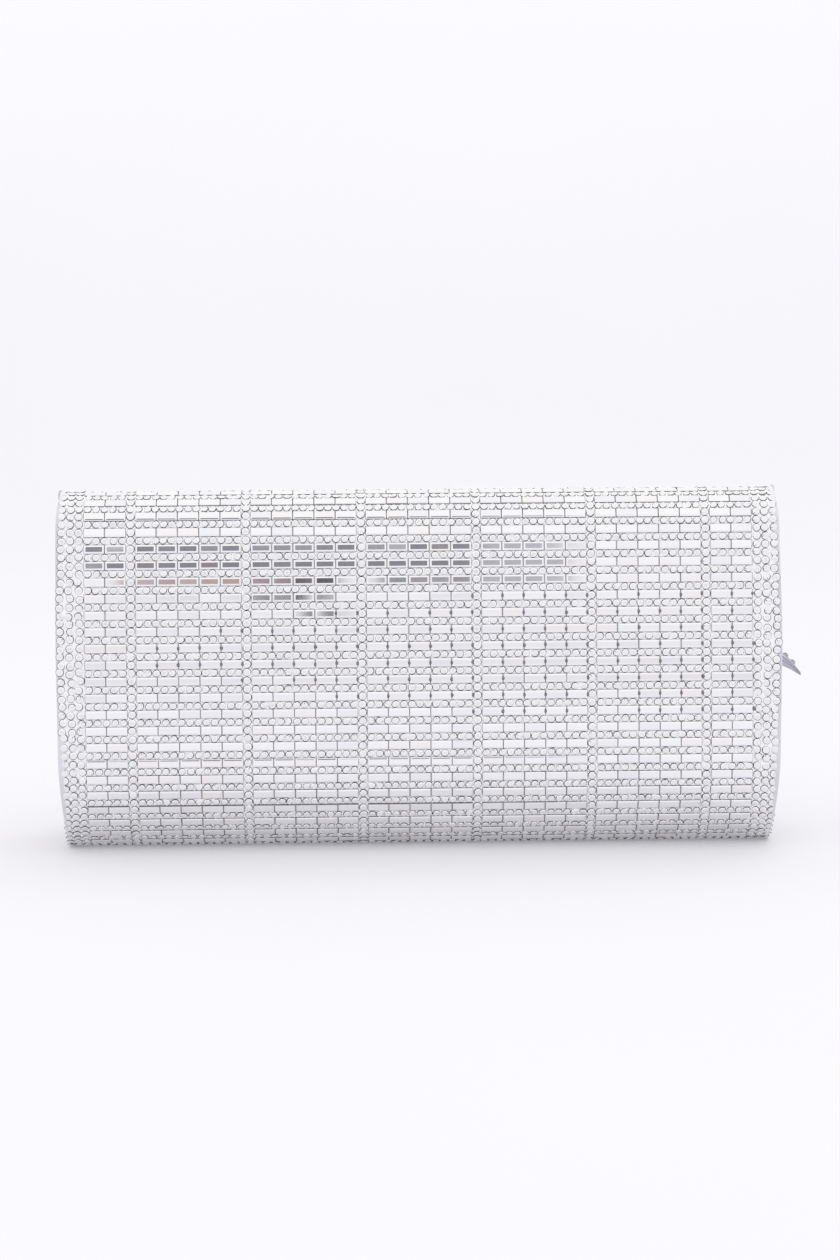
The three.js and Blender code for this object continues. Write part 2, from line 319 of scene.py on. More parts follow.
def thread_material():
    """Twisted silver-grey sewing thread."""
    stops = [(0.35, (0.42, 0.41, 0.45)), (0.65, (0.66, 0.65, 0.69))]
    material, nodes, _, _ = speckled_material("sewing_thread", 2600.0, 1.0, stops)
    set_shader(nodes["Principled BSDF"], Roughness=0.5, Sheen_Weight=0.2)
    return material


def card_material():
    """Grey-brown bookbinder's card with short fibres."""
    stops = [(0.3, (0.30, 0.26, 0.21)), (0.7, (0.45, 0.40, 0.33))]
    material, nodes, links, fibres = speckled_material("stiff_card", 1400.0, 4.0, stops)
    add_bump(nodes, links, fibres.outputs["Fac"], 0.3)
    set_shader(nodes["Principled BSDF"], Roughness=0.9)
    return material


def nickel_material():
    """Plated steel, faintly worn."""
    stops = [(0.3, (0.56, 0.55, 0.53)), (0.7, (0.72, 0.71, 0.69))]
    material, nodes, links, wear = speckled_material("nickel_plate", 700.0, 4.0, stops)
    rough = nodes.new("ShaderNodeMapRange")
    rough.inputs["To Min"].default_value = 0.18
    rough.inputs["To Max"].default_value = 0.34
    links.new(wear.outputs["Fac"], rough.inputs["Value"])
    links.new(rough.outputs["Result"], nodes["Principled BSDF"].inputs["Roughness"])
    set_shader(nodes["Principled BSDF"], Metallic=1.0)
    return material


CRYSTALS = [
    crystal_material("crystal_bright", (0.90, 0.90, 0.92), 0.06),
    crystal_material("crystal_soft", (0.86, 0.86, 0.89), 0.1),
    crystal_material("crystal_warm", (0.89, 0.87, 0.88), 0.07),
    # The rim finish is near black: painted shade that draws a dark outline round every stone.
    crystal_material("crystal_rim_painted_shade", (0.055, 0.055, 0.06), 0.4),
    crystal_material("crystal_table", (0.86, 0.86, 0.88), 0.38),
    crystal_material("grey_stud", (0.20, 0.20, 0.22), 0.3),
]
# The first of these places is the rim's finish, the painted shade at the stones' edges.
RIM_PAINTED_SHADE, TABLE, STUD = 3, 4, 5  # places in that list
MAIN_SHARES = [0.62, 0.25, 0.13]  # how often a stone is made of each of the first three
BACKING = mesh_material()
SATIN = satin_material("satin_silver", (0.63, 0.62, 0.66), (0.73, 0.72, 0.76))
# A darker copy of the silver satin: its darkness is painted shade, for the pull tab that lies in the
# bag's shadow.
SATIN_PAINTED_SHADE = satin_material("satin_painted_shade", (0.50, 0.49, 0.55), (0.66, 0.65, 0.70))
LINING = satin_material("satin_lining", (0.44, 0.43, 0.49), (0.52, 0.51, 0.57))
THREAD = thread_material()
CARD = card_material()
NICKEL = nickel_material()


# ---- crystals -----------------------------------------------------------------------------------


def round_stone(width, length, height):
    """Eight-sided crown: base, girdle, a middle ring turned half a facet, and the table.

    Returned with it: how many faces the rim has, which is painted dark as shade at the stone's edge, and
    the finish of the last face, the table.
    """
    turn = np.arange(8) * math.pi / 4

    def ring(share, z, twist=0.0):
        a, b = width / 2 * share, length / 2 * share
        return np.stack([a * np.cos(turn + twist), b * np.sin(turn + twist), np.full(8, z)], axis=1)

    half_facet = math.pi / 8
    rings = [
        ring(1.0, 0.0, half_facet),
        ring(0.875, 0.42 * height, half_facet),
        ring(0.74, 0.78 * height, 0.0),
        ring(0.5, height, half_facet),
    ]
    vertices = np.concatenate(rings)
    faces = []
    for k in range(8):
        n = (k + 1) % 8
        faces.append((k, n, 8 + n, 8 + k))
    for k in range(8):
        n = (k + 1) % 8
        # Girdle vertex k sits between middle vertices k and k + 1.
        faces.append((8 + k, 16 + n, 16 + k))
        faces.append((8 + k, 8 + n, 16 + n))
        faces.append((16 + k, 16 + n, 24 + k))
        faces.append((16 + n, 24 + n, 24 + k))
    faces.append(tuple(reversed(range(8))))
    faces.append(tuple(24 + k for k in range(8)))
    return vertices, faces, 8, TABLE


def baguette_stone(length, width, height):
    """Step cut: base, girdle, one step, and the table."""

    def ring(inset, z):
        a, b = length / 2 - inset, width / 2 - inset
        return np.array([(-a, -b, z), (a, -b, z), (a, b, z), (-a, b, z)])

    rings = [ring(0.0, 0.0), ring(0.15, 0.42 * height), ring(0.4, 0.8 * height), ring(0.78, height)]
    return np.concatenate(rings), ring_faces(4, 4), 4, None


class StoneField:
    """Collects stones set on a path and turns them into one mesh piece."""

    def __init__(self, path=None):
        self.path = path
        self.vertices = []
        self.faces = []
        self.variants = []
        self.count = 0

    def add(self, shape, x, s, tilt_deg, turn=0.0, finish=None):
        """A stone on the path, leaning a little at random."""
        y, z, ny, nz = self.path.at(s, STONE_BASE_DEPTH)
        tilt = np.radians(rng.normal(0.0, tilt_deg, 2))
        normal = np.array([tilt[0], ny + tilt[1] * nz, nz - tilt[1] * ny])
        self.put(shape, (x, y, z), normal, turn, finish)

    def put(self, shape, at, normal, turn=0.0, finish=None):
        """A stone with the middle of its base at a point. A given finish covers all but its rim, which
        keeps its painted shade.
        """
        vertices, faces, painted_shade_rim_faces, last_finish = shape
        normal = normal / np.linalg.norm(normal)
        across = np.array([1.0, 0.0, 0.0]) - normal * normal[0]
        across /= np.linalg.norm(across)
        along = np.cross(normal, across)
        c, d = math.cos(turn), math.sin(turn)
        u = vertices[:, 0] * c - vertices[:, 1] * d
        v = vertices[:, 0] * d + vertices[:, 1] * c
        spots = np.outer(u, across) + np.outer(v, along) + np.outer(vertices[:, 2], normal)
        self.vertices.append(np.array(at) + spots)
        self.faces.extend(tuple(i + self.count for i in face) for face in faces)
        variant = int(rng.choice(3, p=MAIN_SHARES)) if finish is None else finish
        # The rim's faces take the near-black finish, painted shade at the stone's edge.
        finishes = [RIM_PAINTED_SHADE] * painted_shade_rim_faces + [variant] * (len(faces) - painted_shade_rim_faces)
        if finish is None and last_finish is not None:
            finishes[-1] = last_finish
        self.variants.extend(finishes)
        self.count += len(vertices)

    def finish(self, name, body, node):
        piece = add_mesh(name, np.concatenate(self.vertices), self.faces, CRYSTALS, body, smooth=False)
        piece.data.polygons.foreach_set("material_index", self.variants)
        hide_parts(node)


ROUND = round_stone(3.0, 3.04, 0.5)
PANEL_ROUND = round_stone(3.0, 2.62, 0.5)
DIVIDER_ROUND = round_stone(3.22, 3.06, 0.54)
BAGUETTE = baguette_stone(7.3, 3.26, 0.5)
JOINT_STUD = round_stone(1.25, 1.55, 0.6)


def columns():
    """Where the stones stand across the width: band, divider and baguette centres, and panels."""
    bands, dividers, baguettes, panels = [], [], [], []
    total = 2 * BAND_COLUMNS * BAND_PITCH + (len(PANELS) - 1) * DIVIDER_WIDTH
    total += sum(PANELS) * BAGUETTE_PITCH
    x = -total / 2
    for _ in range(BAND_COLUMNS):
        bands.append(x + BAND_PITCH / 2)
        x += BAND_PITCH
    for i, count in enumerate(PANELS):
        panels.append((x, x + count * BAGUETTE_PITCH, ROUNDS_PER_PANEL[count]))
        for _ in range(count):
            baguettes.append(x + BAGUETTE_PITCH / 2)
            x += BAGUETTE_PITCH
        if i < len(PANELS) - 1:
            dividers.append(x + DIVIDER_WIDTH / 2)
            x += DIVIDER_WIDTH
    for _ in range(BAND_COLUMNS):
        bands.append(x + BAND_PITCH / 2)
        x += BAND_PITCH
    return bands, dividers, baguettes, panels


BANDS, DIVIDERS, BAGUETTES, PANEL_SPANS = columns()
BAND_START_X = PANEL_SPANS[-1][1]


def edge_spread(z):
    """How far the back's outer stones stand out over the side rolls, by height."""
    return EDGE_SPREAD * np.exp(-(((z - EDGE_SPREAD_Z) / EDGE_SPREAD_REACH) ** 2))


def set_studs(field, row, centre):
    """Studs at the joints of a row of long stones. Away from the middle row they start further right."""
    rows_off = abs(row - STUD_MIDDLE_ROW) / STUD_HALF_ROWS
    first_x = STUD_START_X + STUD_START_SHIFT * rows_off**1.5
    for left, right, _ in PANEL_SPANS:
        for x in np.arange(left + BAGUETTE_PITCH, right + 1.0, BAGUETTE_PITCH):
            if x > first_x and rng.random() < STUD_SHARE:
                shift = rng.normal(0.0, 0.12, 2)
                field.add(JOINT_STUD, x + shift[0], centre + shift[1], STUD_TILT_DEG, finish=STUD)


def set_row(field, row):
    """One row of round stones in the bands and dividers, and of long or round ones between."""
    start = FIRST_ROW_S + row * ROW_PITCH
    middle = start + ROW_PITCH / 2
    # On the back, the side bands spread outwards over the side rolls.
    spread = 0.0
    if BACK_FIRST_ROW <= row < CREASE_ROW:
        spread = edge_spread(field.path.at(middle)[1]) * BAND_SPREAD
    loose_share = math.sin(math.pi * (row - NEAT_ROWS) / (CREASE_ROW - 2 * NEAT_ROWS))
    looseness = 0.08 + 0.2 * max(0.0, loose_share)
    for x in BANDS:
        shift = rng.normal(0.0, looseness, 2)
        outwards = (abs(x) - BAND_START_X) / (BAND_COLUMNS * BAND_PITCH)
        shift[0] += math.copysign(outwards * spread, x)
        field.add(ROUND, x + shift[0], middle + shift[1], ROUND_TILT_DEG, turn=rng.uniform(0, 1))
    for x in DIVIDERS:
        shift = rng.normal(0.0, 0.07, 2)
        at = (x + shift[0], middle + shift[1])
        field.add(DIVIDER_ROUND, *at, DIVIDER_TILT_DEG, turn=rng.uniform(0, 1))
    pair = 2 * ROW_PITCH
    if row % 2:
        centre = start + pair * BAGUETTE_SHARE / 2 - (pair * BAGUETTE_SHARE - ROW_PITCH) / 2
        for x in BAGUETTES:
            field.add(BAGUETTE, x, centre, BAGUETTE_TILT_DEG)
        if STUD_ROWS[0] <= row < STUD_ROWS[1]:
            set_studs(field, row, centre)
    else:
        for left, right, count in PANEL_SPANS:
            pitch = (right - left) / count
            for i in range(count):
                at = (left + (i + 0.5) * pitch + rng.normal(0.0, 0.09), middle)
                field.add(PANEL_ROUND, *at, ROUND_TILT_DEG, turn=rng.uniform(0, 1))


def crystal_rows(name, path, first, last, body, node):
    field = StoneField(path)
    for row in range(first, last):
        set_row(field, row)
    field.finish(name, body, node)


crystal_rows("crystals_back", BODY, BACK_FIRST_ROW, CREASE_ROW, "body", "crystal_sheet_back")
crystal_rows("crystals_base", BODY, BASE_FIRST_ROW, BACK_FIRST_ROW, "body", "crystal_sheet_base")
crystal_rows("crystals_front", BODY, FIRST_ROW, BASE_FIRST_ROW, "body", "crystal_sheet_front")
crystal_rows("crystals_top", FLAP, CREASE_ROW, FLAP_SPLIT_ROW, "flap", "crystal_sheet_top")
crystal_rows("crystals_flap", FLAP, FLAP_SPLIT_ROW, LAST_ROW, "flap", "crystal_sheet_flap")


# ---- shapes for the soft pieces -----------------------------------------------------------------


def plate(name, path, s_range, x_range, outer, inner, material, body, step):
    """A curved plate on a path, meshed in steps of (x, s).

    outer and inner are depths in millimetres, or functions of (x, s).
    """
    x = np.linspace(*x_range, max(2, round((x_range[1] - x_range[0]) / step[0])) + 1)
    s = np.linspace(*s_range, max(2, round((s_range[1] - s_range[0]) / step[1])) + 1)
    skin_rows = path.at(s)
    gx, gs = np.meshgrid(x, s, indexing="ij")

    def layer(depth):
        d = depth(gx, gs) if callable(depth) else np.full(gx.shape, float(depth))
        y = skin_rows[:, 0] - d * skin_rows[:, 2]
        z = skin_rows[:, 1] - d * skin_rows[:, 3]
        return np.stack([gx, y, z], axis=-1).reshape(-1, 3)

    nx, ns = gx.shape
    lower = nx * ns
    faces = []
    for i in range(nx - 1):
        for j in range(ns - 1):
            a, b, c, d = i * ns + j, (i + 1) * ns + j, (i + 1) * ns + j + 1, i * ns + j + 1
            faces.append((a, b, c, d))
            faces.append((lower + d, lower + c, lower + b, lower + a))
    rim = [i * ns for i in range(nx)]
    rim += [(nx - 1) * ns + j for j in range(1, ns)]
    rim += [i * ns + ns - 1 for i in range(nx - 2, -1, -1)]
    rim += [j for j in range(ns - 2, 0, -1)]
    for k, a in enumerate(rim):
        b = rim[(k + 1) % len(rim)]
        faces.append((a, lower + a, lower + b, b))
    piece = add_mesh(name, np.concatenate([layer(outer), layer(inner)]), faces, material, body)
    face_outwards(piece)
    return piece


def face_outwards(piece, crease_deg=40.0):
    """Turns every face outwards and shades the piece smooth up to its sharp edges."""
    bm = bmesh.new()
    bm.from_mesh(piece.data)
    bmesh.ops.recalc_face_normals(bm, faces=bm.faces)
    bm.to_mesh(piece.data)
    bm.free()
    piece.data.set_sharp_from_angle(angle=math.radians(crease_deg))


def rounded_section(half_a, half_b, power=2.6, count=16):
    """Points of a rounded bar's section, from round (2) to nearly square (8)."""
    angles = np.arange(count) * 2 * math.pi / count
    c, d = np.cos(angles), np.sin(angles)
    a = half_a * np.sign(c) * np.abs(c) ** (2 / power)
    b = half_b * np.sign(d) * np.abs(d) ** (2 / power)
    return np.stack([a, b], axis=1)


def sweep(name, centres, us, vs, section, material, body):
    """A bar through centres, its section laid out along us and vs at each of them."""
    rings = [c + section[:, :1] * u + section[:, 1:] * v for c, u, v in zip(centres, us, vs)]
    piece = add_mesh(name, np.concatenate(rings), ring_faces(len(rings), len(section)), material, body)
    face_outwards(piece)
    return piece


def bar_along_path(name, path, s0, s1, x, depth, half_x, half_depth, material, body):
    """A rounded binding that runs along a path at one place across the width."""
    s = np.linspace(s0, s1, max(3, round((s1 - s0) / 1.2)) + 1)
    rows = path.at(s, depth)
    centres = np.column_stack([np.full(len(s), x), rows[:, 0], rows[:, 1]])
    us = np.tile([1.0, 0.0, 0.0], (len(s), 1))
    vs = np.column_stack([np.zeros(len(s)), rows[:, 2], rows[:, 3]])
    return sweep(name, centres, us, vs, rounded_section(half_x, half_depth), material, body)


def bar_across(name, path, s, depth, half_s, half_depth, x0, x1, material, body):
    """A rounded binding that runs across the width at one length along a path."""
    y, z, ny, nz = path.at(s, depth)
    x = np.linspace(x0, x1, round((x1 - x0) / 3.0) + 1)
    centres = np.column_stack([x, np.full(len(x), y), np.full(len(x), z)])
    # Small puckers, as where thread pulls the satin in.
    centres[:, 1:] += np.outer(0.08 * np.sin(x * 1.9) * np.sin(x * 0.37), [ny, nz])
    us = np.tile([0.0, nz, -ny], (len(x), 1))
    vs = np.tile([0.0, ny, nz], (len(x), 1))
    return sweep(name, centres, us, vs, rounded_section(half_s, half_depth), material, body)


WAVES = 7


def ripples(seed, amount, wavelength):
    """A smooth uneven surface: a sum of waves in seeded directions, as a function of (x, s)."""
    local = np.random.default_rng(seed)
    angles = local.uniform(0, math.pi, WAVES)
    phases = local.uniform(0, 2 * math.pi, WAVES)
    lengths = wavelength * local.uniform(0.6, 1.8, WAVES)

    def height(x, s):
        total = 0.0
        for a, p, length in zip(angles, phases, lengths):
            k = 2 * math.pi / length
            total = total + np.sin(k * (x * math.cos(a) + s * math.sin(a)) + p)
        return amount * total / WAVES

    return height


STITCH_PITCH = 3.2
STITCH_LENGTH = 2.2
STITCH_WIDTH = 0.42
STITCH_SIDES = 6
STITCH_RINGS = [(-0.5, 0.35), (-0.32, 1.0), (0.32, 1.0), (0.5, 0.35)]  # (share of length, thickness)


def stitches(name, points, normals, body):
    """A row of thread stitches along a line, lying on the surface whose normals are given."""
    points, normals = np.asarray(points, float), np.asarray(normals, float)
    steps = np.linalg.norm(np.diff(points, axis=0), axis=1)
    lengths = np.concatenate([[0.0], np.cumsum(steps)])
    shares = np.array([share for share, _ in STITCH_RINGS])
    stitch_faces = ring_faces(len(STITCH_RINGS), STITCH_SIDES)
    vertices, faces = [], []
    section = rounded_section(STITCH_WIDTH / 2, STITCH_WIDTH / 3, 2.0, STITCH_SIDES)
    for middle in np.arange(STITCH_PITCH / 2, lengths[-1] - STITCH_LENGTH / 2, STITCH_PITCH):
        spots = middle + STITCH_LENGTH * shares
        at = np.column_stack([np.interp(spots, lengths, points[:, i]) for i in range(3)])
        normal = np.array([np.interp(middle, lengths, normals[:, i]) for i in range(3)])
        normal /= np.linalg.norm(normal)
        side = np.cross(at[-1] - at[0], normal)
        side /= np.linalg.norm(side)
        first = STITCH_SIDES * len(vertices)
        faces.extend(tuple(first + i for i in face) for face in stitch_faces)
        for centre, (_, grow) in zip(at, STITCH_RINGS):
            vertices.append(centre + grow * (section[:, :1] * side + section[:, 1:] * normal))
    piece = add_mesh(name, np.concatenate(vertices), faces, THREAD, body)
    face_outwards(piece, 60.0)


# ---- mesh backing and the satin it is stitched over ---------------------------------------------

BACKING_DEPTHS = (0.6, 1.6)
COVER_DEPTHS = (1.9, 2.5)
LINING_DEPTHS = (4.9, 5.6)
FLAP_LINING_DEPTHS = (3.45, 4.1)
BODY_START_S = FIRST_ROW_S + FIRST_ROW * ROW_PITCH
MOUTH_S = BODY.s[0]
MOUTH_BAR = 2.4
FOLD_REACH = 2.2  # how far the mesh turns freely on each side of the crease
FOLD_LINING_DEPTHS = (4.15, 4.75)
LINING_FOLD_REACH = 5.0
INNER_SPAN = (-INNER_X, INNER_X)


def fold_strip(name, depths, reach, material):
    """A strip across the crease, from the body's side of it to the flap's."""
    t = np.linspace(-reach, reach, 25)
    body_side = BODY.at(CREASE_S + np.minimum(t, 0.0))
    flap_side = FLAP.at(CREASE_S + np.maximum(t, 0.0))
    rows = np.where((t < 0)[:, None], body_side, flap_side)
    strip_path = Path(rows, -reach)
    s_range = (-reach, strip_path.s[-1])
    strip = plate(name, strip_path, s_range, INNER_SPAN, *depths, material, None, (12.0, 0.25))
    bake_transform(strip)
    return strip


mesh_fold = fold_strip("mesh_fold", BACKING_DEPTHS, FOLD_REACH, BACKING)
lining_fold = fold_strip("lining_fold", FOLD_LINING_DEPTHS, LINING_FOLD_REACH, LINING)


def widen_back(backing):
    """Draws the back's side edges outwards, to lie under the stones that stand over the side rolls."""
    for vertex in backing.data.vertices:
        x, y, z = vertex.co / MM
        if abs(x) > INNER_X - 1.0 and y < -12.0:
            vertex.co.x += math.copysign(edge_spread(z), x) * MM


for piece_name, path, s_range, body, node, with_pieces in [
    ("mesh_body", BODY, (BODY_START_S, CREASE_S - FOLD_REACH), "body", "back_board", [mesh_fold]),
    ("mesh_flap", FLAP, (CREASE_S + FOLD_REACH, FLAP_END_S), "flap", "flap_board", []),
]:
    backing = plate(piece_name, path, s_range, INNER_SPAN, *BACKING_DEPTHS, BACKING, body, (20.0, 1.0))
    if body == "body":
        widen_back(backing)

cover_range = (MOUTH_S + MOUTH_BAR + 0.4, CREASE_S - 0.4)
cover = plate("satin_cover", BODY, cover_range, INNER_SPAN, *COVER_DEPTHS, SATIN, "body", (20.0, 1.5))
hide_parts("satin_cover_back", "satin_cover_base", "satin_cover_front")


# ---- side panels --------------------------------------------------------------------------------


def mouth_line(depth):
    """The side's upper edge under the flap, from the crease to the front's top."""
    end = FLAP.length_at(front_rows[-1, 1] + 1.6)
    return FLAP.at(np.linspace(CREASE_S + 0.3, end, 26), depth)


SIDE_BASE_X = 122.75
# Rings of a side panel, from its hidden inner edge to its middle: depth under the section's outline,
# share of the way to the middle line, and height as a share of the roll's.
SIDE_RINGS = [
    (1.6, 0.0, 0.0),
    (0.15, 0.0, 0.0),
    (0.0, 0.0, 0.3),
    (0.1, 0.0, 0.65),
    (0.5, 0.0, 0.92),
    (1.1, 0.0, 1.0),
    (1.9, 0.0, 0.93),
    (2.5, 0.0, 0.62),
    (3.0, 0.0, 0.66),
    (3.6, 0.03, 0.88),
    (3.8, 0.15, 1.06),
    (3.8, 0.32, 1.14),
    (3.8, 0.52, 1.12),
    (3.8, 0.7, 0.98),
    (3.8, 0.84, 0.72),
    (3.8, 0.93, 0.42),
    (3.8, 0.985, 0.3),
]
SEAM_RING = 7
SIDE_MIDDLE_Y = -2.0


def side_panel(side, name, node, seed, bulge):
    """A padded satin panel: a rolled edge beside the crystals, a stitched seam and a soft middle fold."""
    body_points = BODY.at(np.arange(BODY.s[0], BODY.s[-1] - 0.2, 1.2))
    y, z, ny, nz = np.concatenate([body_points, mouth_line(FLAP_CLEARANCE)]).T
    middle_z = np.clip(z, 14.0, 106.7)
    # The roll thins out towards the base and a little at the very top.
    roll = 0.35 + 1.95 * np.clip((z - 4.0) / 26.0, 0, 1) ** 0.7
    roll = roll * (1 - 0.35 * np.clip((z - 112.5) / 11.0, 0, 1) ** 2)
    roll = roll + bulge * np.exp(-(((z - 74.0) / 26.0) ** 2))
    wave = ripples(seed, 0.3, 24.0)
    rings = []
    # At the back the roll gives way to the stones that stand out over it.
    give = 0.8 * edge_spread(z) * np.clip(-ny, 0, 1)
    for depth, pull, height in SIDE_RINGS:
        py, pz = y - (depth + give) * ny, z - (depth + give) * nz
        py, pz = py + pull * (SIDE_MIDDLE_Y - py), pz + pull * (middle_z - pz)
        thickness = np.maximum(roll, 1.0) if pull > 0 else roll
        x = SIDE_BASE_X + thickness * height + min(1.0, pull * 4) * wave(py, pz)
        rings.append(np.column_stack([side * x, py, pz]))
    piece = add_mesh(name, np.concatenate(rings), ring_faces(len(rings), len(y)), SATIN, "body")
    face_outwards(piece, 60.0)
    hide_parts(node)
    seam = np.vstack([rings[SEAM_RING], rings[SEAM_RING][:1]]) + [side * 0.1, 0.0, 0.0]
    outwards = np.tile([float(side), 0.0, 0.0], (len(seam), 1))
    stitches(name + "_stitching", seam, outwards, "body")


side_panel(-1, "side_satin_left", "side_panel_left", 31, bulge=0.3)
side_panel(1, "side_satin_right", "side_panel_right", 32, bulge=0.7)


# ---- mouth, front and lining --------------------------------------------------------------------

mouth = bar_across("mouth_roll", BODY, MOUTH_S + 1.25, 2.85, 1.25, 2.85, *INNER_SPAN, SATIN, "body")
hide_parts("mouth_binding")


STITCHED_HALF = 118.0  # how far from the middle the stitched lines across the bag run


def line_across(path, s, depth):
    """Points and normals across the width at one length and depth."""
    y, z, ny, nz = path.at(s, depth)
    x = np.linspace(-STITCHED_HALF, STITCHED_HALF, 80)
    points = np.column_stack([x, np.full(len(x), y), np.full(len(x), z)])
    return points, np.tile([0.0, ny, nz], (len(x), 1))


MAGNET_Z = 78.4
MAGNET_R = 7.0
FRONT_MAGNET_S = BODY.s[0] + (Path(front_rows).s[-1] - Path(front_rows).length_at(MAGNET_Z))
FLAP_MAGNET_S = FLAP.length_at(MAGNET_Z)


def dip(x, s, centre_s):
    """1 under a magnet's disc, falling to 0 just outside it."""
    t = np.clip((np.hypot(x, s - centre_s) - MAGNET_R - 0.3) / 1.2, 0, 1)
    return 1 - t**2 * (3 - 2 * t)


def dipped(depth, magnet_depth, x, s, centre_s):
    """A surface's depth, led smoothly to another depth under a magnet."""
    share = dip(x, s, centre_s)
    return depth * (1 - share) + magnet_depth * share


front_wave = ripples(5, 0.2, 38.0)
front_range = (MOUTH_S + MOUTH_BAR + 0.5, BODY_START_S - 0.3)
front = plate(
    "front_satin",
    BODY,
    front_range,
    INNER_SPAN,
    lambda x, s: dipped(0.75 + front_wave(x, s), 1.65, x, s, FRONT_MAGNET_S),
    1.85,
    SATIN,
    "body",
    (1.5, 1.2),
)
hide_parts("front_satin_panel")
stitches("mouth_stitching", *line_across(BODY, MOUTH_S + 4.0, 0.72), "body")
stitches("front_edge_stitching", *line_across(BODY, BODY_START_S - 2.2, 0.72), "body")

lining_wave = ripples(6, 0.35, 30.0)
lining_range = (MOUTH_S + MOUTH_BAR + 0.4, CREASE_S - 0.4)
lining = plate(
    "lining_satin",
    BODY,
    lining_range,
    INNER_SPAN,
    LINING_DEPTHS[0],
    lambda x, s: LINING_DEPTHS[1] + 0.35 + lining_wave(x, s),
    LINING,
    "body",
    (3.0, 1.5),
)
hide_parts("lining")


def lining_end(side, name, seed):
    """The lining's end wall beside a side panel."""
    s = np.arange(BODY.s[0] + MOUTH_BAR + 5.0, BODY.s[-1] - 0.6, 1.5)
    inner = BODY.at(s, LINING_DEPTHS[1] + 0.1)[:, :2]
    t = np.linspace(0.03, 0.97, 24)[:, None]
    outline = np.vstack([inner, inner[-1] * (1 - t) + inner[0] * t])
    middle = np.column_stack([np.full(len(outline), SIDE_MIDDLE_Y), np.clip(outline[:, 1], 20.0, 99.7)])
    wave = ripples(seed, 0.6, 28.0)
    rings = []
    for pull in (0.97, 0.6, 0.25, 0.0):
        at = outline + pull * (middle - outline)
        rings.append(np.column_stack([np.full(len(at), side * 122.5), at]))
    for pull in (0.0, 0.04, 0.12, 0.25, 0.45, 0.65, 0.85, 0.97):
        at = outline + pull * (middle - outline)
        x = 121.9 - min(1.0, pull * 5) * (0.9 + wave(at[:, 0], at[:, 1]))
        rings.append(np.column_stack([side * x, at]))
    piece = add_mesh(name, np.concatenate(rings), ring_faces(len(rings), len(outline)), LINING, "body")
    face_outwards(piece, 60.0)


lining_end(-1, "lining_end_left", 41)
lining_end(1, "lining_end_right", 42)

# ---- slip pocket --------------------------------------------------------------------------------

POCKET_HALF = 70.0
POCKET_S = (32.2, 84.2)
POCKET_DEPTHS = (6.5, 13.4)
pocket_wave = ripples(9, 0.25, 22.0)


def pocket_depth(x, s):
    """The pocket's front stands off the lining, less so near its sides and bottom."""
    side = np.clip((POCKET_HALF - np.abs(x)) / 7.0, 0, 1)
    bottom = np.clip((s - POCKET_S[0]) / 9.0, 0, 1)
    rise = np.sqrt(np.clip(side * (2 - side), 0, 1)) * np.sqrt(np.clip(bottom * (2 - bottom), 0, 1))
    return POCKET_DEPTHS[0] + rise * (POCKET_DEPTHS[1] - POCKET_DEPTHS[0] + pocket_wave(x, s))


pocket = plate(
    "pocket_satin",
    BODY,
    POCKET_S,
    (-POCKET_HALF, POCKET_HALF),
    lambda x, s: pocket_depth(x, s) - 0.6,
    pocket_depth,
    LINING,
    "body",
    (1.6, 1.5),
)
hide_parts("slip_pocket")


def pocket_hem():
    """A turned hem along the pocket's top, with a row of stitches."""
    x = np.linspace(-POCKET_HALF + 0.3, POCKET_HALF - 0.3, 90)
    depth = pocket_depth(x, np.full(len(x), POCKET_S[1])) - 0.3
    rows = BODY.at(np.full(len(x), POCKET_S[1] - 1.2), depth)
    centres = np.column_stack([x, rows[:, 0], rows[:, 1]])
    tangent = np.gradient(centres, axis=0)
    tangent /= np.linalg.norm(tangent, axis=1)[:, None]
    up = np.column_stack([np.zeros(len(x)), rows[:, 3], -rows[:, 2]])
    out = np.cross(tangent, up)
    hem = sweep("pocket_hem", centres, up, out, rounded_section(1.7, 0.6, 3.0), LINING, "body")
    inwards = -np.column_stack([np.zeros(len(x)), rows[:, 2], rows[:, 3]])
    stitches("pocket_stitching", centres[4:-4] + 0.62 * inwards[4:-4], inwards[4:-4], "body")


pocket_hem()

# ---- flap: lining, bindings and hem -------------------------------------------------------------

flap_wave = ripples(7, 0.14, 30.0)
flap_range = (CREASE_S + 0.4, FLAP_END_S - 0.2)
flap_lining = plate(
    "flap_satin",
    FLAP,
    flap_range,
    INNER_SPAN,
    FLAP_LINING_DEPTHS[0] - 0.15,
    lambda x, s: dipped(4.0 + flap_wave(x, s), 3.5, x, s, FLAP_MAGNET_S),
    LINING,
    "flap",
    (1.5, 1.2),
)
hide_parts("flap_lining")

BINDING_X = 123.95
BINDING_HALF_X = 1.15
BINDING_HALF_DEPTH = 2.15
FLAP_DEPTH_MIDDLE = 2.1
HEM_S = FLAP_END_S + 0.3 + MOUTH_BAR / 2
TAB_TOP_Z = 65.9
for piece_name, x, end_s, node in [
    ("flap_edge_left", -BINDING_X, HEM_S + MOUTH_BAR / 2, "flap_binding_left"),
    ("flap_edge_right", BINDING_X, FLAP.length_at(TAB_TOP_Z), "flap_binding_right"),
]:
    size = (BINDING_HALF_X, BINDING_HALF_DEPTH)
    s_range = (CREASE_S + 0.3, end_s)
    edge = bar_along_path(piece_name, FLAP, *s_range, x, FLAP_DEPTH_MIDDLE, *size, SATIN, "flap")
    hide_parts(node)

TAB_ROOT_X = 112.0
hem_size = (MOUTH_BAR / 2, BINDING_HALF_DEPTH)
hem_span = (-INNER_X, TAB_ROOT_X - 0.3)
hem = bar_across("flap_hem_roll", FLAP, HEM_S, FLAP_DEPTH_MIDDLE, *hem_size, *hem_span, SATIN, "flap")
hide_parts("flap_hem")
stitches("flap_stitching", *line_across(FLAP, FLAP_END_S - 3.0, 4.12), "flap")

# ---- pull tab -----------------------------------------------------------------------------------

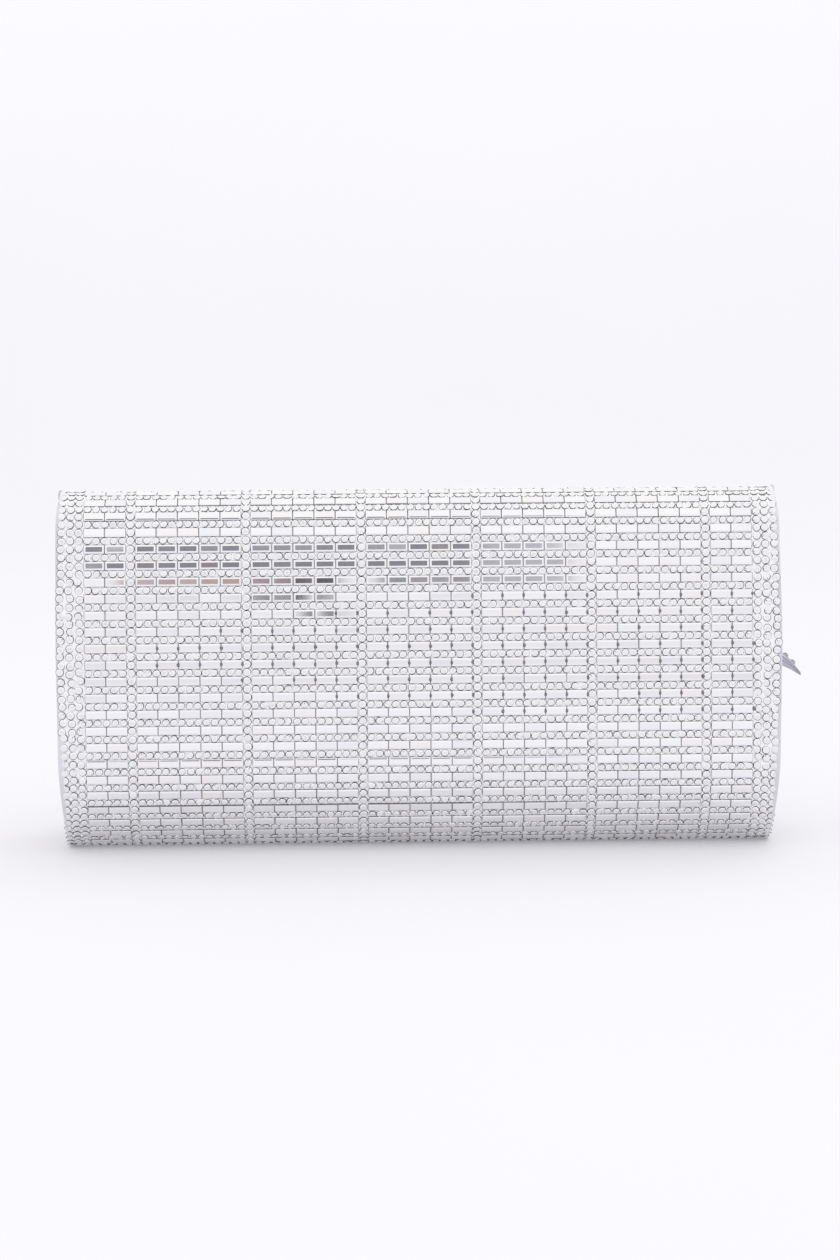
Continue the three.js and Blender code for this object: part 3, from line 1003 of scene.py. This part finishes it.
# x, lower z, upper z, near y, far y: from the hem out to the tip.
TAB_STATIONS = np.array(
    [
        (TAB_ROOT_X, 56.8, 59.2, 25.4, 28.9),
        (121.5, 56.8, 59.2, 25.4, 28.9),
        (123.4, 56.8, 65.4, 25.4, 28.9),
        (126.5, 56.4, 65.0, 25.6, 28.8),
        (130.0, 56.8, 63.8, 25.8, 28.6),
        (133.5, 56.4, 61.6, 26.0, 28.2),
        (137.0, 54.8, 58.3, 26.2, 27.8),
        (140.5, 52.6, 53.8, 26.6, 27.4),
    ]
)
TAB_PLEATS = 4
TAB_SIDES = 64


def tab_at(x):
    return [np.interp(x, TAB_STATIONS[:, 0], TAB_STATIONS[:, i]) for i in range(1, 5)]


def pull_tab():
    """A pleated satin horn: its folds run from the root and close up at the tip."""
    angles = np.arange(TAB_SIDES) * 2 * math.pi / TAB_SIDES
    c, d = np.cos(angles), np.sin(angles)
    rings = []
    for x in np.concatenate([np.linspace(TAB_ROOT_X, INNER_X, 8), np.linspace(123.4, 140.5, 40)]):
        z0, z1, y0, y1 = tab_at(x)
        out = np.clip((x - 122.8) / 3.0, 0, 1)
        side = np.sign(d) * np.abs(d) ** 0.6
        height = np.sign(c) * np.abs(c) ** 0.75
        fold = np.cos(TAB_PLEATS * math.pi * height + 0.5 * side) * np.abs(d) ** 0.5
        pleat = out * 0.16 * (y1 - y0) * fold
        y = (y0 + y1) / 2 + side * ((y1 - y0) / 2 * (1 - 0.1 * out) + pleat)
        z = (z0 + z1) / 2 + height * (z1 - z0) / 2
        rings.append(np.column_stack([np.full(TAB_SIDES, x), y, z]))
    faces = ring_faces(len(rings), TAB_SIDES)
    # The tab takes the darker copy of the satin, which is painted shade.
    tab = add_mesh("tab_satin", np.concatenate(rings), faces, SATIN_PAINTED_SHADE, "flap")
    face_outwards(tab, 50.0)
    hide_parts("pull_tab")


def tab_stones():
    """Round stones over the tab's outer face, the upper row leaning over its edge."""
    field = StoneField()
    for x in np.arange(124.6, 139.5, 2.55):
        z0, z1, _, y1 = tab_at(x)
        size = float(np.clip((z1 - z0) / 3.2, 0.45, 1.0))
        stone = round_stone(2.7 * size, 2.7 * size, 1.1 * size)
        field.put(stone, (x, y1 - 0.25, z1 - 0.55 * size), np.array([0.25, 1.0, 0.75]), rng.uniform(0, 1))
        for drop in (3.3, 6.0):
            if z1 - drop > z0 + 1.0:
                field.put(stone, (x, y1 - 0.1, z1 - drop), np.array([0.1, 1.0, 0.1]), rng.uniform(0, 1))
    field.finish("tab_stones", "flap", "pull_tab_crystals")


pull_tab()
tab_stones()

# ---- finishes of the nodes that stay ------------------------------------------------------------

for node_name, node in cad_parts.items():
    finish = NICKEL if "magnet" in node_name else CARD if "board" in node_name else SATIN
    node.data.materials.clear()
    node.data.materials.append(finish)


def magnet_ring(name, path, s, depth, out, body):
    """The raised rim round a magnet's disc."""
    y, z, ny, nz = path.at(s, depth)
    a = np.linspace(0, 2 * math.pi, 49)[:-1]
    normal = np.array([0.0, ny, nz]) * out
    along = np.array([0.0, nz, -ny])
    across = np.array([1.0, 0.0, 0.0])
    rings = []
    for angle in a:
        radial = across * math.cos(angle) + along * math.sin(angle)
        section = rounded_section(0.55, 0.35, 2.4, 12)
        centre = np.array([0.0, y, z]) + radial * (MAGNET_R - 0.6)
        rings.append(centre + section[:, :1] * radial + section[:, 1:] * normal)
    faces = ring_faces(len(rings), 12, closed_ends=False)
    last = (len(rings) - 1) * 12
    faces += [(last + k, last + (k + 1) % 12, (k + 1) % 12, k) for k in range(12)]
    piece = add_mesh(name, np.concatenate(rings), faces, NICKEL, body)
    face_outwards(piece, 60.0)


magnet_ring("magnet_rim_body", BODY, FRONT_MAGNET_S, 0.5, 1.0, "body")
magnet_ring("magnet_rim_flap", FLAP, FLAP_MAGNET_S, 4.2, -1.0, "flap")


# ---- stage, light and camera --------------------------------------------------------------------


def stage_sheet():
    """A pale floor that curves up into a backdrop behind the bag."""
    flat_end = radius = 900.0
    profile = [(-6000.0, 0.0), (flat_end, 0.0)]
    for a in np.linspace(0, math.pi / 2, 24)[1:]:
        profile.append((flat_end + radius * math.sin(a), radius * (1 - math.cos(a))))
    profile.append((flat_end + radius, 1100.0))
    vertices = [(x, y, z - 0.15) for y, z in profile for x in (-6000.0, 6000.0)]
    faces = [(2 * i, 2 * i + 1, 2 * i + 3, 2 * i + 2) for i in range(len(profile) - 1)]
    stops = [(0.3, (0.60, 0.592, 0.61)), (0.7, (0.61, 0.602, 0.62))]
    material, nodes, links, _ = speckled_material("stage_paper", 3.0, 2.0, stops)
    shader = nodes["Principled BSDF"]
    set_shader(shader, Roughness=0.9, Specular_IOR_Level=0.1)
    set_shader(shader, Emission_Color=(0.97, 0.965, 1.0, 1.0))
    # The backdrop, which the light from behind misses, glows more than the floor.
    geometry = nodes.new("ShaderNodeNewGeometry")
    split = nodes.new("ShaderNodeSeparateXYZ")
    links.new(geometry.outputs["Normal"], split.inputs[0])
    glow = nodes.new("ShaderNodeMapRange")
    glow.inputs["To Min"].default_value = 0.49
    glow.inputs["To Max"].default_value = 0.2
    links.new(split.outputs["Z"], glow.inputs["Value"])
    links.new(glow.outputs["Result"], shader.inputs["Emission Strength"])
    add_mesh("stage_sheet", vertices, faces, material, None)


CARD_Y = -1030.0
WARM_CARD_Y = -1028.0


def dark_card(name, x_range, z_range, tint, y=CARD_Y):
    """A card by the camera, seen only in reflections: the cards make the bars on the long stones."""
    (x0, x1), (z0, z1) = x_range, z_range
    vertices = [(x0, y, z0), (x1, y, z0), (x1, y, z1), (x0, y, z1)]
    material, nodes, _ = new_material(name)
    set_shader(nodes["Principled BSDF"], Base_Color=(*tint, 1.0), Roughness=1.0, Specular_IOR_Level=0.0)
    card = add_mesh(name, vertices, [(0, 1, 2, 3)], material, None)
    card.visible_camera = False
    card.visible_shadow = False
    card.visible_diffuse = False


def add_light(name, data, direction):
    """A light that shines one way and is itself seen neither directly nor in reflections."""
    light = bpy.data.objects.new(name, data)
    bpy.context.scene.collection.objects.link(light)
    light.rotation_mode = "QUATERNION"
    light.rotation_quaternion = direction.to_track_quat("-Z", "Y")
    light.visible_camera = False
    light.visible_glossy = False
    return light


def overhead_light():
    """A weak soft box above the bag."""
    data = bpy.data.lights.new("overhead", "AREA")
    data.shape = "RECTANGLE"
    data.size = data.size_y = 1.6
    data.energy = 5.0
    location = Vector((0.15, -0.2, 1.6))
    add_light("overhead", data, -location).location = location


def light_from_behind():
    """A soft light from high behind the bag, which lays its shadow on the floor in front."""
    data = bpy.data.lights.new("behind", "SUN")
    data.energy = 0.36
    data.angle = math.radians(32.0)
    add_light("behind", data, Vector((-0.12, -0.38, -1.0)))


def world_light():
    """Soft studio surroundings: white above, a little greyer near the horizon."""
    world = bpy.data.worlds.new("studio")
    bpy.context.scene.world = world
    world.use_nodes = True
    nodes, links = world.node_tree.nodes, world.node_tree.links
    coords = nodes.new("ShaderNodeTexCoord")
    split = nodes.new("ShaderNodeSeparateXYZ")
    links.new(coords.outputs["Generated"], split.inputs[0])
    stops = [
        (0.0, (0.82, 0.82, 0.84)),
        (0.1, (0.88, 0.88, 0.90)),
        (0.3, (0.99, 0.99, 1.0)),
        (1.0, (1.0, 1.0, 1.0)),
    ]
    ramp = colour_ramp(nodes, links, split.outputs["Z"], stops)
    background = nodes["Background"]
    links.new(ramp.outputs["Color"], background.inputs["Color"])
    background.inputs["Strength"].default_value = 1.05


ELEVATION_DEG = 7.15
AZIMUTH_DEG = 1.44  # the bag's left end stands a little nearer to the camera
DISTANCE = 1.0016
AIM = Vector((0.0001, BACK_Y * MM, 0.0778))
LENS = 83.26
ROLL_DEG = -0.36


def camera():
    data = bpy.data.cameras.new("camera")
    data.sensor_width = 36.0
    data.lens = LENS
    data.clip_start, data.clip_end = 0.05, 50.0
    cam = bpy.data.objects.new("camera", data)
    bpy.context.scene.collection.objects.link(cam)
    e, a = math.radians(ELEVATION_DEG), math.radians(AZIMUTH_DEG)
    back = Vector((-math.sin(a) * math.cos(e), -math.cos(a) * math.cos(e), math.sin(e)))
    cam.location = AIM + back * DISTANCE
    cam.rotation_mode = "QUATERNION"
    roll = Matrix.Rotation(math.radians(ROLL_DEG), 3, "Z").to_quaternion()
    cam.rotation_quaternion = (-back).to_track_quat("-Z", "Y") @ roll
    bpy.context.scene.camera = cam


stage_sheet()
dark_card("card_wide", (-237.0, 67.0), (318.6, 404.0), (0.24, 0.24, 0.26))
dark_card("card_pale", (67.0, 131.0), (282.6, 408.6), (0.46, 0.46, 0.48))
dark_card("card_right", (-9.0, 67.0), (282.6, 318.6), (0.27, 0.27, 0.29))
dark_card("card_middle", (-92.0, -36.0), (238.0, 318.6), (0.09, 0.09, 0.10))
dark_card("card_low", (-44.0, -30.0), (190.0, 238.0), (0.06, 0.06, 0.07))
dark_card("card_warm", (-171.0, -73.0), (282.6, 318.6), (0.50, 0.36, 0.35), WARM_CARD_Y)
overhead_light()
light_from_behind()
world_light()
camera()
bpy.context.scene.view_settings.view_transform = "Standard"
